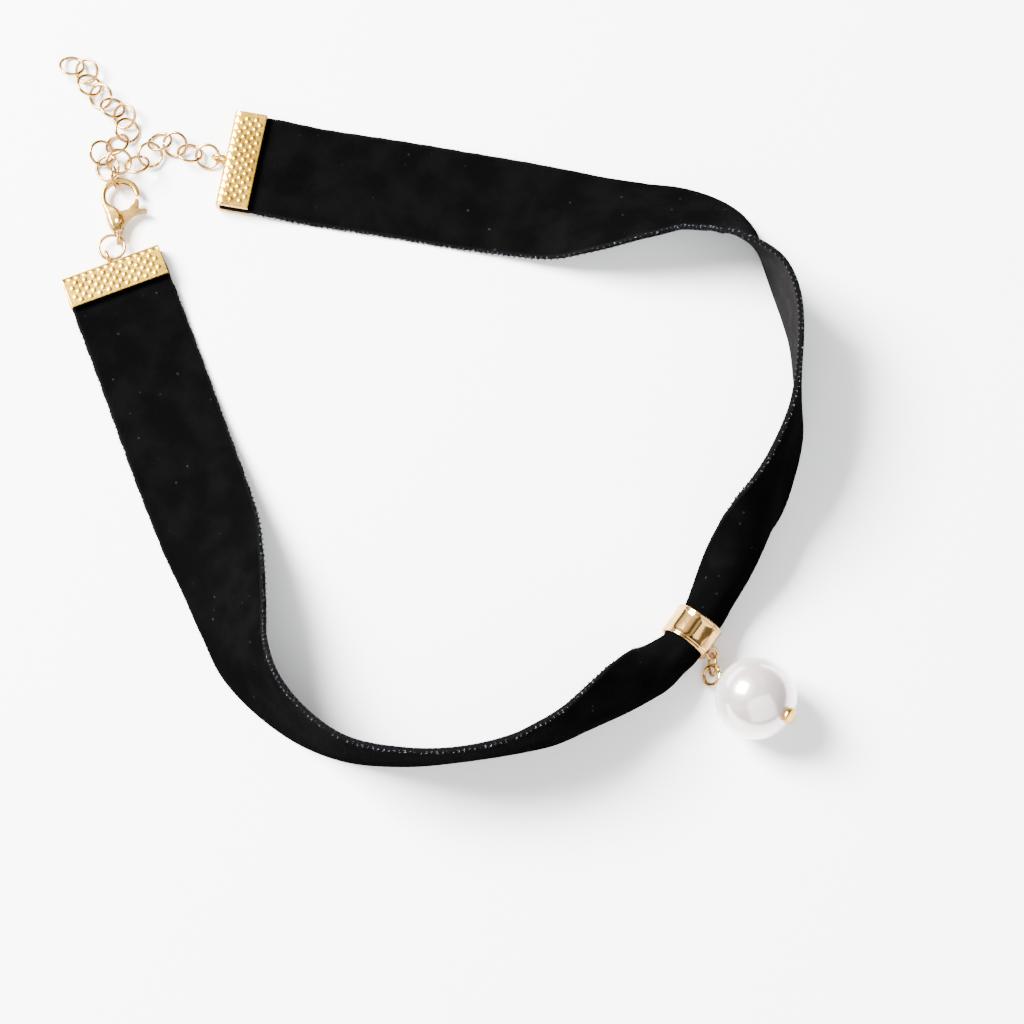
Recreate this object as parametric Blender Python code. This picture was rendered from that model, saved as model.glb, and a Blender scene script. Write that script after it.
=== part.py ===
"""Velvet ribbon choker with gold crimp ends, an extender chain, a lobster clasp and a pearl drop.

The choker lies fastened on a flat surface at Z = 0, as a loop seen from above. +Y points away
from the front of the picture, +X to its right. Every size is in metres.
"""

import math

import bmesh
import bpy
from mathutils import Matrix, Vector

MM = 0.001

# Clearances
PIECE_GAP = 0.3 * MM
LINK_GAP = 0.2 * MM

# Velvet ribbon
LOOP_WIDTH = 120.0 * MM
LOOP_DEPTH = 110.0 * MM
RIBBON_WIDTH = 16.6 * MM
RIBBON_THICKNESS = 1.2 * MM
RIBBON_STATION_PITCH = 4.2 * MM
RIBBON_CELLS = 10

# Gathering tube at the front
GATHER_TURN = math.radians(326)
GATHERED_THICKNESS = 0.8 * MM
TUBE_LENGTH = 4.9 * MM
TUBE_WALL = 0.4 * MM
TUBE_SIDES = 28
TUBE_LOOP_RADIUS = 0.85 * MM
TUBE_LOOP_WIRE = 0.25 * MM
TUBE_LOOP_DROP = math.radians(20)
TUBE_LOOP_SHIFT = 0.6 * MM

# Folded crimp ends
CRIMP_DEPTH = 5.4 * MM
CRIMP_SHEET = 0.6 * MM
CRIMP_SPINE = 0.8 * MM
CRIMP_EDGE_ROUND = 0.35 * MM
CRIMP_BUMP_COLUMNS = 5
CRIMP_BUMP_ROWS = 9
CRIMP_BUMP_HEIGHT = 0.22 * MM
CRIMP_LOOP_RADIUS = 1.15 * MM
CRIMP_LOOP_WIRE = 0.32 * MM
CRIMP_SLOPE = 9.0 * MM

# Jump rings and chain links
RING_RADIUS = 1.9 * MM
RING_WIRE = 0.25 * MM
CLASP_RING_RADIUS = 2.1 * MM
CLASP_RING_SHIFT = 0.3 * MM
CLASP_RING_PLAY = 0.2 * MM
DROP_RING_RADIUS = 1.75 * MM
DROP_RING_STRETCH = 0.1 * MM
DROP_RING_LEAN = math.radians(75)
LINK_RADIUS = 1.95 * MM
LINK_WIRE = 0.23 * MM
ROUND_SIDES = 14
WIRE_SIDES = 6
PIVOT_SIDES = 12

# Lobster clasp
CLASP_REACH = 10.5 * MM
CLASP_ROOT_THICKNESS = 2.6 * MM
CLASP_BOW_THICKNESS = 1.2 * MM
CLASP_LIFT = 1.5 * MM
CLASP_EYE_RADIUS = 1.05 * MM
CLASP_EYE_WIRE = 0.3 * MM
CLASP_PIN_RADIUS = 0.35 * MM
CLASP_PIN_PROUD = 0.1 * MM
CLASP_CORNER_SHARE = 0.45
CLASP_STATIONS = 26
LEVER_THICKNESS = 1.0 * MM
LEVER_ROOT_RADIUS = 0.9 * MM
LEVER_ROOT_STEPS = 8

# Pearl drop
PEARL_RADIUS = 6.45 * MM
PEARL_BORE = 0.75 * MM
PEARL_ROWS = 13
PEARL_SIDES = 16
PIN_WIRE = 0.3 * MM
PIN_HEAD_RADIUS = 1.4 * MM
PIN_HEAD_THICKNESS = 0.35 * MM
PIN_HEAD_TAPER = 0.7
PIN_SIDES = 10
PIN_EYE_RADIUS = 1.5 * MM
PIN_EYE_TURN = math.radians(20)
PIN_NECK = 1.1 * MM

# The ribbon's way round, clockwise from the right crimp. x and y are shares of LOOP_WIDTH and
# LOOP_DEPTH, lean is the velvet's tilt in degrees (0 faces up, 90 faces outward) and gather is
# the share of GATHER_TURN by which the edges curl under.
RIBBON_SECTIONS = (
    # x, y, lean, gather
    (-0.383, 0.540, 0, 0.0),
    (-0.267, 0.517, 0, 0.0),
    (-0.165, 0.499, 0, 0.0),
    (-0.083, 0.483, 0, 0.0),
    (0.000, 0.467, 3, 0.0),
    (0.063, 0.454, 10, 0.0),
    (0.113, 0.448, 25, 0.0),
    (0.178, 0.447, 40, 0.0),
    (0.228, 0.447, 48, 0.0),
    (0.275, 0.433, 54, 0.0),
    (0.303, 0.412, 61, 0.0),
    (0.320, 0.391, 71, 0.0),
    (0.339, 0.366, 82, 0.0),
    (0.357, 0.336, 90, 0.0),
    (0.371, 0.297, 92, 0.0),
    (0.379, 0.252, 90, 0.0),
    (0.380, 0.191, 87, 0.0),
    (0.377, 0.125, 81, 0.0),
    (0.368, 0.085, 78, 0.0),
    (0.354, 0.044, 75, 0.0),
    (0.336, -0.003, 71, 0.10),
    (0.317, -0.041, 68, 0.32),
    (0.290, -0.089, 65, 0.66),
    (0.266, -0.132, 60, 0.92),
    (0.250, -0.164, 56, 1.0),
    (0.235, -0.187, 55, 1.0),
    (0.220, -0.210, 56, 1.0),
    (0.201, -0.229, 60, 0.92),
    (0.181, -0.252, 69, 0.66),
    (0.139, -0.287, 74, 0.34),
    (0.082, -0.324, 83, 0.10),
    (0.040, -0.343, 88, 0.0),
    (-0.003, -0.359, 93, 0.0),
    (-0.067, -0.372, 95, 0.0),
    (-0.133, -0.376, 93, 0.0),
    (-0.208, -0.366, 89, 0.0),
    (-0.266, -0.335, 82, 0.0),
    (-0.316, -0.285, 73, 0.0),
    (-0.349, -0.227, 60, 0.0),
    (-0.365, -0.166, 48, 0.0),
    (-0.382, -0.096, 33, 0.0),
    (-0.400, -0.036, 17, 0.0),
    (-0.443, 0.087, 4, 0.0),
    (-0.489, 0.220, 0, 0.0),
    (-0.542, 0.368, 0, 0.0),
)
TUBE_SECTION = 25

# The clasp's outline in its own plane, from the eye at (0, 0) towards the bow, as shares of
# CLASP_REACH: the centre of the metal, half its width and the share of the way from the root's
# thickness to the bow's.
CLASP_SPINE = (
    # x, y, half width, thinning
    (-0.010, 0.085, 0.065, 0.3),
    (-0.040, 0.180, 0.110, 0.0),
    (-0.060, 0.290, 0.135, 0.0),
    (-0.110, 0.400, 0.125, 0.1),
    (-0.215, 0.510, 0.055, 0.6),
    (-0.270, 0.650, 0.038, 1.0),
    (-0.260, 0.790, 0.038, 1.0),
    (-0.165, 0.905, 0.046, 1.0),
    (0.010, 0.940, 0.056, 1.0),
    (0.160, 0.885, 0.056, 1.0),
    (0.245, 0.765, 0.045, 1.0),
    (0.265, 0.640, 0.038, 1.0),
    (0.252, 0.530, 0.028, 1.0),
)
CLASP_POCKET = (
    # x, y of the pocket's corners
    (-0.125, 0.130),
    (0.300, 0.130),
    (0.300, 0.700),
    (-0.125, 0.700),
)
LEVER_PIVOT = (0.0, 0.250)
LEVER_OUTLINE = (
    # x, y, going round from the root's right side by the tab and the nose
    (0.078, 0.215),
    (0.130, 0.300),
    (0.205, 0.375),
    (0.300, 0.415),
    (0.415, 0.437),
    (0.428, 0.462),
    (0.330, 0.480),
    (0.280, 0.500),
    (0.290, 0.570),
    (0.283, 0.640),
    (0.225, 0.645),
    (0.190, 0.560),
    (0.120, 0.470),
    (0.000, 0.435),
    (-0.068, 0.330),
)

# Where the small metal pieces lie. A bearing is the level direction from one loop to the next,
# in degrees from +X. The chain's route has a point for each link, chosen by eye, in millimetres
# from the middle of the clasp's bow. rest is how high the link lies on what is under it, and lean
# is its tilt in degrees, to one side or the other. One link isn't in the list: it is caught round
# the bow, at a share of the clasp's spine.
CLASP_BEARING = math.radians(65)
CLASP_TURN = math.radians(-1)
CAUGHT_LINK = 7
CAUGHT_LINK_SHARE = 0.61
CAUGHT_LINK_REACH = 0.65 * MM
CAUGHT_LINK_LEAN = math.radians(80)
CHAIN_ROUTE = (
    # x, y, rest, lean
    (11.0, 4.5, 0.0, 28),
    (8.5, 6.0, 0.0, -28),
    (6.0, 6.5, 0.0, 28),
    (4.5, 4.0, 0.4, -28),
    (2.5, 2.0, 1.2, 28),
    (-0.5, 2.5, 1.5, -20),
    (-2.5, 2.0, 0.0, -20),
    (-3.5, 4.5, 0.0, 28),
    (-1.0, 6.0, 0.1, -28),
    (0.5, 8.5, 0.0, 28),
    (0.0, 11.0, 0.0, -28),
    (-2.0, 12.5, 0.0, 28),
    (-4.0, 14.5, 0.0, -28),
    (-6.0, 16.5, 0.0, 28),
    (-6.5, 19.0, 0.0, -28),
    (-9.0, 20.0, 0.0, 24),
)
DROP_BEARING = math.radians(-88)
PEARL_AXIS = (0.70, -0.50, 0.50)


def material(name, colour, metallic, roughness):
    made = bpy.data.materials.new(name)
    made.use_nodes = True
    shader = made.node_tree.nodes["Principled BSDF"]
    shader.inputs["Base Color"].default_value = (*colour, 1.0)
    shader.inputs["Metallic"].default_value = metallic
    shader.inputs["Roughness"].default_value = roughness
    return made


def piece(name, mesh_builder, finish, smooth=35):
    """A named object from a bmesh, with faces pointing out and its round sides smooth."""
    bmesh.ops.recalc_face_normals(mesh_builder, faces=mesh_builder.faces)
    mesh = bpy.data.meshes.new(name)
    mesh_builder.to_mesh(mesh)
    mesh_builder.free()
    mesh.shade_smooth()
    mesh.set_sharp_from_angle(angle=math.radians(smooth))
    mesh.materials.append(finish)
    made = bpy.data.objects.new(name, mesh)
    bpy.context.scene.collection.objects.link(made)
    return made


def helper(made):
    """Marks a shape that only cuts or adds to another."""
    made.hide_render = True
    made.display_type = "WIRE"
    return made


def combine(target, tool, operation):
    step = target.modifiers.new(tool.name, "BOOLEAN")
    step.operation = operation
    step.solver = "EXACT"
    step.object = helper(tool)


def skin(mesh_builder, rings, closed=False):
    """Bridges rings of equal length, and caps both ends unless the row of rings is closed."""
    rows = [[mesh_builder.verts.new(point) for point in ring] for ring in rings]
    count = len(rows[0])
    pairs = list(zip(rows, rows[1:]))
    if closed:
        pairs.append((rows[-1], rows[0]))
    for first, second in pairs:
        for i in range(count):
            j = (i + 1) % count
            mesh_builder.faces.new((first[i], first[j], second[j], second[i]))
    if not closed:
        mesh_builder.faces.new(rows[0])
        mesh_builder.faces.new(rows[-1])


def torus(mesh_builder, radius, wire, place=Matrix.Identity(4), sides=ROUND_SIDES):
    """A round ring of wire whose axis is the place's Z."""
    rings = []
    for i in range(sides):
        turn = 2 * math.pi * i / sides
        ring = []
        for j in range(WIRE_SIDES):
            roll = 2 * math.pi * (j + 0.5) / WIRE_SIDES
            reach = radius + wire * math.cos(roll)
            point = Vector((reach * math.cos(turn), reach * math.sin(turn), wire * math.sin(roll)))
            ring.append(place @ point)
        rings.append(ring)
    skin(mesh_builder, rings, closed=True)


def axis_place(centre, axis, across):
    """A placement whose Z is the axis and whose X is as near as can be to across."""
    up = Vector(axis).normalized()
    side = Vector(across)
    side = (side - up * side.dot(up)).normalized()
    turned = Matrix((side, up.cross(side), up)).transposed().to_4x4()
    return Matrix.Translation(Vector(centre)) @ turned


def tilted_place(centre, line, lean):
    """A ring's placement with its plane along a line, tilted by lean about it from lying level."""
    side = line.cross(Vector((0, 0, 1))).normalized()
    up = side.cross(line).normalized()
    return axis_place(centre, up * math.cos(lean) + side * math.sin(lean), line)


def place_between(first, second, lean, shift=0.0):
    """The placement of a ring that joins two loops, half way between them and shifted aside."""
    a, b = first.translation, second.translation
    aside = Vector((0, 0, 1)).cross(b - a).normalized()
    return tilted_place((a + b) / 2 + aside * shift, b - a, lean)


class SmoothRow:
    """A smooth curve through table rows, read by the distance along their first two columns."""

    def __init__(self, rows):
        self.rows = [tuple(map(float, row)) for row in rows]
        self.stops = [0.0]
        for a, b in zip(self.rows, self.rows[1:]):
            self.stops.append(self.stops[-1] + math.hypot(b[0] - a[0], b[1] - a[1]))
        self.length = self.stops[-1]
        last = len(self.rows) - 1
        self.slopes = []
        for i in range(last + 1):
            low, high = max(i - 1, 0), min(i + 1, last)
            span = self.stops[high] - self.stops[low]
            self.slopes.append([(b - a) / span for a, b in zip(self.rows[low], self.rows[high])])

    def at(self, distance):
        i = 0
        while i < len(self.stops) - 2 and distance > self.stops[i + 1]:
            i += 1
        span = self.stops[i + 1] - self.stops[i]
        t = (distance - self.stops[i]) / span
        start, end = 2 * t**3 - 3 * t**2 + 1, 3 * t**2 - 2 * t**3
        leave, arrive = (t**3 - 2 * t**2 + t) * span, (t**3 - t**2) * span
        rows, slopes = self.rows, self.slopes
        return [
            start * a + end * b + leave * p + arrive * q
            for a, b, p, q in zip(rows[i], rows[i + 1], slopes[i], slopes[i + 1])
        ]

    def heading(self, distance):
        step = self.length * 1e-4
        a, b = self.at(max(distance - step, 0.0)), self.at(min(distance + step, self.length))
        return Vector((b[0] - a[0], b[1] - a[1], 0.0)).normalized()


def ribbon_path():
    rows = [(x * LOOP_WIDTH, y * LOOP_DEPTH, lean, gather) for x, y, lean, gather in RIBBON_SECTIONS]
    return SmoothRow(rows)


PATH = ribbon_path()
TUBE_DISTANCE = PATH.stops[TUBE_SECTION]
GATHER_RADIUS = RIBBON_WIDTH / GATHER_TURN
TUBE_BORE = GATHER_RADIUS + GATHERED_THICKNESS / 2 + PIECE_GAP
TUBE_RADIUS = TUBE_BORE + TUBE_WALL
CRIMP_THICKNESS = RIBBON_THICKNESS + 2 * (PIECE_GAP + CRIMP_SHEET)
CRIMP_LENGTH = RIBBON_WIDTH
PIN_REACH = PEARL_RADIUS + PIN_NECK + PIN_EYE_RADIUS - PIN_WIRE / 2


def ease(t):
    t = min(max(t, 0.0), 1.0)
    return t * t * (3 - 2 * t)


def rest_height(distance, gather):
    """How high the ribbon's lowest edge lies: on the surface, in a crimp's mouth or in the tube."""
    mouth = CRIMP_DEPTH
    end = min(distance, PATH.length - distance)
    in_crimp = 1 - ease((end - mouth) / CRIMP_SLOPE)
    return in_crimp * (CRIMP_SHEET + PIECE_GAP) + (1 - in_crimp) * gather * (TUBE_WALL + PIECE_GAP)


def ribbon_ring(distance):
    """One cross-section of the ribbon: the velvet side from edge to edge, then the back."""
    x, y, lean, gather = PATH.at(distance)
    lean, gather = math.radians(lean), min(max(gather, 0.0), 1.0)
    along = PATH.heading(distance)
    inward = Vector((along.y, -along.x, 0.0))
    up = Vector((0.0, 0.0, 1.0))
    across = inward * math.cos(lean) + up * math.sin(lean)
    pile = up * math.cos(lean) - inward * math.sin(lean)
    thickness = RIBBON_THICKNESS + (GATHERED_THICKNESS - RIBBON_THICKNESS) * gather
    turn = max(GATHER_TURN * gather, math.radians(2))
    radius = RIBBON_WIDTH / turn
    sink = radius * (1 - math.cos(min(turn / 2, math.pi))) / 2
    faces = []
    for side in (0.5, -0.5):
        row = []
        for i in range(RIBBON_CELLS + 1):
            angle = turn * (i / RIBBON_CELLS - 0.5)
            reach = radius + side * thickness
            row.append(across * reach * math.sin(angle) + pile * (reach * math.cos(angle) - radius + sink))
        faces.append(row)
    ring = faces[0] + faces[1][::-1]
    lowest = min(point.z for point in ring)
    base = Vector((x, y, rest_height(distance, gather) - lowest))
    return [base + point for point in ring]


def ribbon_stations():
    """Distances of the cross-sections, with one at each crimp's mouth and each end of the tube."""
    half = TUBE_LENGTH / 2 + PIECE_GAP
    last_mouth = PATH.length - CRIMP_DEPTH
    marks = (0.0, CRIMP_DEPTH, TUBE_DISTANCE - half, TUBE_DISTANCE + half, last_mouth, PATH.length)
    stations = [0.0]
    for a, b in zip(marks, marks[1:]):
        steps = max(round((b - a) / RIBBON_STATION_PITCH), 1)
        stations += [a + (b - a) * i / steps for i in range(1, steps + 1)]
    return stations


def make_ribbon(velvet):
    mesh_builder = bmesh.new()
    skin(mesh_builder, [ribbon_ring(distance) for distance in ribbon_stations()])
    return piece("velvet_ribbon", mesh_builder, velvet, 60)


def crimp_frame(distance, outward_sign):
    """A crimp's placement: X along the spine, Y out of the loop's end, Z up, at the surface."""
    x, y, _, _ = PATH.at(distance)
    out = PATH.heading(distance) * outward_sign
    side = out.cross(Vector((0, 0, 1)))
    turned = Matrix((side, out, Vector((0, 0, 1)))).transposed().to_4x4()
    return Matrix.Translation(Vector((x, y, 0.0))) @ turned


def crimp_loop(distance, outward_sign):
    """The placement of the loop on a crimp's spine."""
    frame = crimp_frame(distance, outward_sign)
    reach = PIECE_GAP + CRIMP_SPINE + CRIMP_LOOP_RADIUS - CRIMP_LOOP_WIRE / 2
    middle = frame @ Vector((0.0, reach, CRIMP_THICKNESS / 2))
    return axis_place(middle, frame.to_3x3() @ Vector((1, 0, 0)), (0, 0, 1))


def crimp_profile():
    """The folded sheet seen along the spine, as (y, z), Y pointing out of the ribbon's end."""
    back = PIECE_GAP + CRIMP_SPINE
    mouth = back - CRIMP_DEPTH
    top, round_off = CRIMP_THICKNESS, CRIMP_EDGE_ROUND
    cells = 2 * CRIMP_BUMP_COLUMNS
    face = [(mouth + (back - round_off - mouth) * i / cells, top) for i in range(cells + 1)]
    spine = [(back, top - round_off), (back, round_off), (back - round_off, 0.0), (mouth, 0.0)]
    slot = [
        (mouth, CRIMP_SHEET),
        (PIECE_GAP, CRIMP_SHEET),
        (PIECE_GAP, top - CRIMP_SHEET),
        (mouth, top - CRIMP_SHEET),
    ]
    return face + spine + slot, cells


def make_crimp(name, distance, outward_sign, gold):
    frame = crimp_frame(distance, outward_sign)
    profile, cells = crimp_profile()
    rows = 2 * CRIMP_BUMP_ROWS
    rings = []
    for j in range(rows + 1):
        x = CRIMP_LENGTH * (j / rows - 0.5)
        ring = []
        for i, (y, z) in enumerate(profile):
            inside = 0 < i < cells and 0 < j < rows
            raised = inside and i % 2 == 1 and (j + i // 2) % 2 == 1
            ring.append(frame @ Vector((x, y, z + (CRIMP_BUMP_HEIGHT if raised else 0.0))))
        rings.append(ring)
    mesh_builder = bmesh.new()
    skin(mesh_builder, rings)
    made = piece(name, mesh_builder, gold, 50)
    loop_builder = bmesh.new()
    torus(loop_builder, CRIMP_LOOP_RADIUS, CRIMP_LOOP_WIRE, crimp_loop(distance, outward_sign))
    combine(made, piece(name + "_loop", loop_builder, gold), "UNION")
    return made


def tube_axis():
    """The tube's middle, the direction along it and the level direction out of the loop."""
    x, y, _, _ = PATH.at(TUBE_DISTANCE)
    along = PATH.heading(TUBE_DISTANCE)
    return Vector((x, y, TUBE_RADIUS)), along, Vector((-along.y, along.x, 0.0))


def tube_loop():
    """The placement of the small loop under the tube, its plane along the tube."""
    centre, along, outward = tube_axis()
    out = outward * math.cos(TUBE_LOOP_DROP) - Vector((0, 0, 1)) * math.sin(TUBE_LOOP_DROP)
    reach = TUBE_RADIUS + TUBE_LOOP_RADIUS - TUBE_LOOP_WIRE / 2
    return axis_place(centre + out * reach + along * TUBE_LOOP_SHIFT, along.cross(out), along)


def make_tube(gold):
    centre, along, outward = tube_axis()
    across = Vector((0, 0, 1))
    rings = []
    half = TUBE_LENGTH / 2
    for reach, end in ((TUBE_RADIUS, -half), (TUBE_RADIUS, half), (TUBE_BORE, half), (TUBE_BORE, -half)):
        ring = []
        for i in range(TUBE_SIDES):
            turn = 2 * math.pi * (i + 0.5) / TUBE_SIDES
            ring.append(centre + along * end + (outward * math.cos(turn) + across * math.sin(turn)) * reach)
        rings.append(ring)
    mesh_builder = bmesh.new()
    skin(mesh_builder, rings, closed=True)
    made = piece("gathering_tube", mesh_builder, gold, 40)
    loop_builder = bmesh.new()
    torus(loop_builder, TUBE_LOOP_RADIUS, TUBE_LOOP_WIRE, tube_loop())
    combine(made, piece("gathering_tube_loop", loop_builder, gold), "UNION")
    return made


def make_ring(name, place, radius, wire, gold):
    mesh_builder = bmesh.new()
    torus(mesh_builder, radius, wire)
    made = piece(name, mesh_builder, gold, 80)
    made.matrix_world = place
    return made


def clasp_spine():
    return SmoothRow([(x * CLASP_REACH, y * CLASP_REACH, h * CLASP_REACH, t) for x, y, h, t in CLASP_SPINE])


def caught_link(frame):
    """The placement of the link round the clasp's bow, standing across the bow's metal."""
    spine = clasp_spine()
    distance = spine.length * CAUGHT_LINK_SHARE
    x, y, _, _ = spine.at(distance)
    along = spine.heading(distance)
    outward = Vector((-along.y, along.x, 0.0))
    middle = frame @ (Vector((x, y, 0.0)) + outward * CAUGHT_LINK_REACH)
    middle.z = LINK_RADIUS * abs(math.sin(CAUGHT_LINK_LEAN)) + LINK_WIRE
    return tilted_place(middle, frame.to_3x3() @ outward, CAUGHT_LINK_LEAN)


def chain_places():
    """Placements of the right crimp's ring and of the links, in order from it."""
    frame = clasp_frame()
    bow = frame @ Vector((0.0, CLASP_REACH, 0.0))
    rows = []
    for x, y, rest, lean in CHAIN_ROUTE:
        level = Vector((bow.x + x * MM, bow.y + y * MM, 0.0))
        rows.append((level, rest * MM, math.radians(lean), LINK_RADIUS, LINK_WIRE))
    loop = crimp_loop(0.0, -1).translation
    toward = (rows[0][0].xy - loop.xy).normalized().to_3d()
    start = Vector((loop.x, loop.y, 0.0)) + toward * (RING_RADIUS + LINK_GAP)
    lean = -rows[0][2]
    rest = loop.z - LINK_GAP - RING_RADIUS * abs(math.sin(lean)) - RING_WIRE
    rows.insert(0, (start, rest, lean, RING_RADIUS, RING_WIRE))
    caught = caught_link(frame)
    rows.insert(CAUGHT_LINK, (caught.translation, 0.0, 0.0, LINK_RADIUS, LINK_WIRE))
    places = []
    for i, (spot, rest, lean, radius, wire) in enumerate(rows):
        line = rows[min(i + 1, len(rows) - 1)][0] - rows[max(i - 1, 0)][0]
        height = rest + radius * abs(math.sin(lean)) + wire
        places.append(tilted_place(Vector((spot.x, spot.y, height)), line.xy.to_3d(), lean))
    places[CAUGHT_LINK] = caught
    return places


def make_chain(gold):
    ring, *links = chain_places()
    made = [make_ring("chain_jump_ring", ring, RING_RADIUS, RING_WIRE, gold)]
    for number, place in enumerate(links, 1):
        made.append(make_ring(f"extender_link_{number:02d}", place, LINK_RADIUS, LINK_WIRE, gold))
    return made


def bearing(angle):
    return Vector((math.cos(angle), math.sin(angle), 0.0))


def clasp_frame():
    """The clasp's placement: its eye at the origin, a ring's span from the left crimp's loop."""
    loop = crimp_loop(PATH.length, 1).translation
    eye = loop + bearing(CLASP_BEARING) * 2 * (CLASP_RING_RADIUS - CLASP_RING_PLAY)
    return Matrix.Translation((eye.x, eye.y, CLASP_LIFT)) @ Matrix.Rotation(CLASP_TURN, 4, "Z")


def clasp_ring(spine, distance, frame):
    """The clasp's cross-section, a rectangle with broken corners across its spine."""
    x, y, half_width, thinning = spine.at(distance)
    along = spine.heading(distance)
    side = Vector((along.y, -along.x, 0.0))
    half_height = (CLASP_ROOT_THICKNESS + (CLASP_BOW_THICKNESS - CLASP_ROOT_THICKNESS) * thinning) / 2
    corner = CLASP_CORNER_SHARE * min(half_width, half_height)
    wide, high = half_width - corner, half_height - corner
    shape = (
        (half_width, high), (wide, half_height), (-wide, half_height), (-half_width, high),
        (-half_width, -high), (-wide, -half_height), (wide, -half_height), (half_width, -high),
    )
    return [frame @ (Vector((x, y, 0.0)) + side * a + Vector((0, 0, b))) for a, b in shape]


def prism(mesh_builder, outline, low, high):
    skin(mesh_builder, [[Vector((x, y, z)) for x, y in outline] for z in (low, high)])


def circle(centre, radius, sides):
    turns = [2 * math.pi * i / sides for i in range(sides)]
    return [(centre[0] + radius * math.cos(a), centre[1] + radius * math.sin(a)) for a in turns]


def scaled(points, size):
    return [(x * size, y * size) for x, y in points]


def make_clasp_body(frame, gold):
    spine = clasp_spine()
    stops = [spine.length * i / CLASP_STATIONS for i in range(CLASP_STATIONS + 1)]
    mesh_builder = bmesh.new()
    skin(mesh_builder, [clasp_ring(spine, distance, frame) for distance in stops])
    made = piece("clasp_body", mesh_builder, gold, 40)
    half_slot = LEVER_THICKNESS / 2 + PIECE_GAP
    pocket = bmesh.new()
    prism(pocket, scaled(CLASP_POCKET, CLASP_REACH), -half_slot, half_slot)
    pocket.transform(frame)
    combine(made, piece("clasp_pocket", pocket, gold), "DIFFERENCE")
    pivot = (LEVER_PIVOT[0] * CLASP_REACH, LEVER_PIVOT[1] * CLASP_REACH)
    pin = bmesh.new()
    reach = CLASP_ROOT_THICKNESS / 2 + CLASP_PIN_PROUD
    prism(pin, circle(pivot, CLASP_PIN_RADIUS, PIVOT_SIDES), -reach, reach)
    pin.transform(frame)
    combine(made, piece("clasp_pin", pin, gold), "UNION")
    eye = bmesh.new()
    torus(eye, CLASP_EYE_RADIUS, CLASP_EYE_WIRE, frame @ axis_place((0, 0, 0), (1, 0, 0), (0, 0, 1)))
    combine(made, piece("clasp_eye", eye, gold), "UNION")
    return made


def make_clasp_lever(frame, gold):
    """The lever, with its origin on its pivot's axis."""
    pivot = Vector((LEVER_PIVOT[0] * CLASP_REACH, LEVER_PIVOT[1] * CLASP_REACH, 0.0))
    outline = scaled(LEVER_OUTLINE, CLASP_REACH)
    first, last = Vector(outline[0]), Vector(outline[-1])
    start = math.atan2(last.y - pivot.y, last.x - pivot.x)
    end = math.atan2(first.y - pivot.y, first.x - pivot.x) + 2 * math.pi
    for i in range(1, LEVER_ROOT_STEPS):
        turn = start + (end - start) * i / LEVER_ROOT_STEPS
        outline.append(tuple((pivot + bearing(turn) * LEVER_ROOT_RADIUS).xy))
    mesh_builder = bmesh.new()
    half = LEVER_THICKNESS / 2
    prism(mesh_builder, outline, -half, half)
    mesh_builder.transform(Matrix.Translation(-pivot))
    made = piece("clasp_lever", mesh_builder, gold, 40)
    made.matrix_world = frame @ Matrix.Translation(pivot)
    hole = bmesh.new()
    prism(hole, circle((0.0, 0.0), CLASP_PIN_RADIUS + LINK_GAP, PIVOT_SIDES), -2 * half, 2 * half)
    cutter = piece("clasp_lever_hole", hole, gold)
    cutter.matrix_world = made.matrix_world
    combine(made, cutter, "DIFFERENCE")
    return made


def pearl_frame():
    """The drop's placement: Z along the pin towards its head, the pearl on the surface."""
    loop = tube_loop().translation
    axis = Vector(PEARL_AXIS).normalized()
    fall = loop.z - (PEARL_RADIUS - axis.z * PIN_REACH)
    level = math.sqrt((2 * DROP_RING_RADIUS + DROP_RING_STRETCH) ** 2 - fall**2)
    eye = loop + bearing(DROP_BEARING) * level - Vector((0, 0, fall))
    return axis_place(eye + axis * PIN_REACH, axis, (0, 0, 1))


def pin_eye():
    """The placement of the eye at the bare end of the pin."""
    frame = pearl_frame()
    turned = frame.to_3x3() @ Matrix.Rotation(PIN_EYE_TURN, 3, "Z")
    middle = frame @ Vector((0.0, 0.0, -PIN_REACH))
    return axis_place(middle, turned @ Vector((1, 0, 0)), turned @ Vector((0, 0, 1)))


def make_pearl(lustre):
    frame = pearl_frame()
    start = math.asin(PEARL_BORE / PEARL_RADIUS)
    rings = []
    for i in range(PEARL_ROWS + 1):
        angle = start + (math.pi - 2 * start) * i / PEARL_ROWS
        reach, height = PEARL_RADIUS * math.sin(angle), PEARL_RADIUS * math.cos(angle)
        rings.append([frame @ Vector((x, y, height)) for x, y in circle((0.0, 0.0), reach, PEARL_SIDES)])
    mesh_builder = bmesh.new()
    skin(mesh_builder, rings, closed=True)
    return piece("pearl", mesh_builder, lustre, 60)


def make_head_pin(gold):
    frame = pearl_frame()
    head = PEARL_RADIUS + PIECE_GAP
    bare_end = -(PEARL_RADIUS + PIN_NECK)
    stem = (
        (PIN_WIRE, bare_end),
        (PIN_WIRE, head),
        (PIN_HEAD_RADIUS, head),
        (PIN_HEAD_RADIUS, head + PIN_HEAD_THICKNESS / 2),
        (PIN_HEAD_RADIUS * PIN_HEAD_TAPER, head + PIN_HEAD_THICKNESS),
    )
    mesh_builder = bmesh.new()
    rings = []
    for reach, height in stem:
        rings.append([frame @ Vector((x, y, height)) for x, y in circle((0.0, 0.0), reach, PIN_SIDES)])
    skin(mesh_builder, rings)
    made = piece("head_pin", mesh_builder, gold, 40)
    eye = bmesh.new()
    torus(eye, PIN_EYE_RADIUS, PIN_WIRE, pin_eye())
    combine(made, piece("head_pin_eye", eye, gold), "UNION")
    return made


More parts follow.
